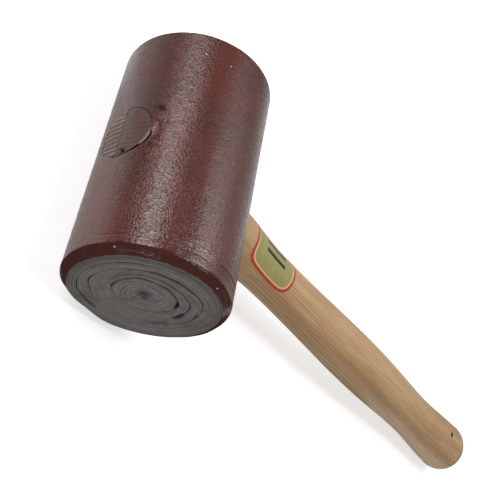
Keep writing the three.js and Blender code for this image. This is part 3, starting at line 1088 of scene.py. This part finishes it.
def wedge_material():
    n = Nodes("wedge")
    streak = n.noise(n.scaled(n.place(), 0.1, 0.6, 2), 1)
    tone = n.mix(streak, (66, 48, 43), (86, 64, 58))
    return n.finish(base_color=tone, roughness=0.36, normal=n.bump(streak, 0.08))


def panel_material():
    """A plain printed panel: a red border, a pale line, and dark bars on a dull gold field."""
    n = Nodes("printed_panel")
    place = n.place()
    along, across = n.uv("print")

    def powered(value, half):
        share = n.math("ABSOLUTE", n.math("DIVIDE", value, half))
        return n.math("POWER", share, PANEL_SQUARENESS)

    rim = n.total(powered(along, PANEL_LENGTH / 2), powered(across, PANEL_WIDTH / 2))
    rim = n.math("POWER", rim, 1 / PANEL_SQUARENESS)
    worn = n.noise(place, 1.6, 4, 0.7)
    field = n.mix(n.noise(place, 0.25, 2), (176, 164, 104), (146, 140, 86))
    bars = n.times(
        n.ease(n.math("PINGPONG", across, 2.4), 1.1, 0.8),
        n.ease(n.math("ABSOLUTE", along), 9.2, 8.9),
        n.ease(n.math("ABSOLUTE", across), 6.2, 6),
    )
    tone = n.mix(bars, field, (44, 42, 34))
    tone = n.mix(n.ease(rim, 0.86, 0.87), tone, (222, 190, 150))
    tone = n.mix(n.ease(rim, 0.91, 0.92), tone, (188, 64, 50))
    tone = n.tint(tone, n.ease(worn, 0.62, 0.72), 0.5, (206, 166, 122))
    return n.finish(base_color=tone, roughness=0.34, normal=n.bump(worn, 0.02))


# Stage

CAMERA_PLACE = (-182.2, -144.9, 208.6)
CAMERA_RIGHT = (0.5751, 0.1464, 0.8049)
CAMERA_UP = (-0.5168, 0.8277, 0.2187)
CAMERA_LENS = 56.3
CAMERA_SENSOR = 36
CAMERA_CLIP = 10

# The floor glows to the camera, more so far from the mallet, and a little in reflections
FLOOR_SIZE = 4000
FLOOR_TONE = 0.7
FLOOR_GLOW = 0.65
FLOOR_NEAR = 300
FLOOR_FAR = 1100
FLOOR_SHEEN = 0.2
WORLD_LIGHT = 0.12

# Softboxes: the way to each from the head, its distance, width and length, and its radiance
SOFTBOXES = {
    "key_softbox": ((-0.82, 0.33, 0.44), 700, 470, 600, 4.5),
    "rim_softbox": ((0.26, 0.28, 0.89), 700, 400, 450, 2.9),
    "side_softbox": ((0.86, 0.4, 0.4), 900, 700, 800, 0.3),
    "top_softbox": ((0.15, -0.12, 0.98), 800, 470, 170, 8),
    "front_softbox": ((0, -0.98, 0.08), 900, 700, 380, 2.6),
}

# Cards: place, front, back and height of the standing one, then left, right, front and back of
# each lying one, and how light it is
DARK_TONE = 0.02
CARD_LIFT = 2
STANDING_CARD = (-165, -150, 600, 108)
LYING_CARDS = [
    (55, 230, -90, 50, DARK_TONE),
    (-400, -16, -200, 6, 0.08),
    (420, 1900, -500, 330, DARK_TONE),
    (-165, -45, 120, 400, 0.42),
]
MATT = 0.9


def placed(place, right, up, out):
    """Matrix from a place in millimetres and three axes."""
    basis = Matrix((right, up, out)).transposed()
    return Matrix.Translation(Vector(place) * MM) @ basis.to_4x4()


def flat_sheet(name, corners, material):
    mesh = bpy.data.meshes.new(name)
    mesh.from_pydata([tuple(c * MM for c in corner) for corner in corners], [], [(0, 1, 2, 3)])
    mesh.materials.append(material)
    sheet = linked(name, mesh)
    return sheet


def level_corners(left, right, front, back, z):
    return [(left, front, z), (right, front, z), (right, back, z), (left, back, z)]


def make_camera():
    data = bpy.data.cameras.new("camera")
    data.lens = CAMERA_LENS
    data.sensor_width = CAMERA_SENSOR
    data.clip_start = CAMERA_CLIP * MM
    camera = linked("camera", data)
    right = Vector(CAMERA_RIGHT).normalized()
    up = Vector(CAMERA_UP)
    up = (up - right * up.dot(right)).normalized()
    camera.matrix_world = placed(CAMERA_PLACE, right, up, right.cross(up))
    bpy.context.scene.camera = camera


def floor_material():
    n = Nodes("floor")
    path = n.add("LightPath").outputs
    x, y, _ = n.parts(n.add("TexCoord").outputs["Object"])
    seen = n.ease(n.length(x, y), FLOOR_NEAR * MM, FLOOR_FAR * MM, FLOOR_GLOW, 1)
    glow = n.total(n.times(path["Is Camera Ray"], seen), n.times(path["Is Glossy Ray"], FLOOR_SHEEN))
    tone, white = (FLOOR_TONE, FLOOR_TONE, FLOOR_TONE, 1), (1, 1, 1, 1)
    return n.finish(base_color=tone, roughness=MATT, emission_color=white, emission_strength=glow)


def make_floor():
    half = FLOOR_SIZE / 2
    flat_sheet("floor", level_corners(-half, half, -half, half, -HEAD_RADIUS), floor_material())


def softbox(name, toward, distance, width, length, radiance):
    data = bpy.data.lights.new(name, "AREA")
    data.shape = "RECTANGLE"
    data.size = width * MM
    data.size_y = length * MM
    data.energy = radiance * math.pi * width * length * MM * MM
    out = Vector(toward).normalized()
    side = Vector((0, 1, 0)).cross(out).normalized()
    place = Vector((0, HEAD_MIDDLE, 0)) + out * distance
    linked(name, data).matrix_world = placed(place, side, out.cross(side), out)


def make_card(name, corners, tone):
    """A card out of the picture, which only shows as a reflection."""
    material = Nodes(name).finish(base_color=(tone, tone, tone, 1), roughness=MATT)
    card = flat_sheet(name, corners, material)
    card.visible_camera = False
    card.visible_diffuse = False
    card.visible_shadow = False


def make_cards():
    x, front, back, height = STANDING_CARD
    bottom, top = -HEAD_RADIUS, height - HEAD_RADIUS
    corners = [(x, front, bottom), (x, back, bottom), (x, back, top), (x, front, top)]
    make_card("standing_card", corners, DARK_TONE)
    for index, (*sides, tone) in enumerate(LYING_CARDS):
        make_card(f"lying_card_{index}", level_corners(*sides, bottom + CARD_LIFT), tone)


def make_world():
    """White to the camera, and a dim light on everything else."""
    world = bpy.data.worlds.new("world")
    world.use_nodes = True
    tree = world.node_tree
    background = tree.nodes["Background"].inputs
    background["Color"].default_value = (1, 1, 1, 1)
    path = tree.nodes.new("ShaderNodeLightPath")
    strength = tree.nodes.new("ShaderNodeMapRange")
    strength.inputs["To Min"].default_value = WORLD_LIGHT
    tree.links.new(path.outputs["Is Camera Ray"], strength.inputs["Value"])
    tree.links.new(strength.outputs["Result"], background["Strength"])
    bpy.context.scene.world = world


def dress(piece, material, slot, *nodes):
    piece.data.materials.clear()
    piece.data.materials.append(material)
    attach(piece, "root")
    if nodes:
        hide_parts(*nodes)


make_camera()
make_floor()
for light_name, light in SOFTBOXES.items():
    softbox(light_name, *light)
make_cards()
make_world()

hide = hide_material()
core_front, core_back, second, third, outer = make_strips()
dress(core_front, hide, "rawhide_core", "hide_core_front")
dress(core_back, hide, "rawhide_core", "hide_core_back")
dress(second, hide, "rawhide_core", "hide_second_strip")
dress(third, hide, "rawhide_core", "hide_third_strip")
dress(outer, hide, "rawhide_outer", "hide_outer_strip")

handle, wedge = make_handle()
dress(handle, ash_material(), "ash", "handle")
dress(wedge, wedge_material(), "wedge_wood", "handle_wedge")
dress(make_panel(), panel_material(), "ash")

bpy.context.scene.view_settings.view_transform = "Standard"
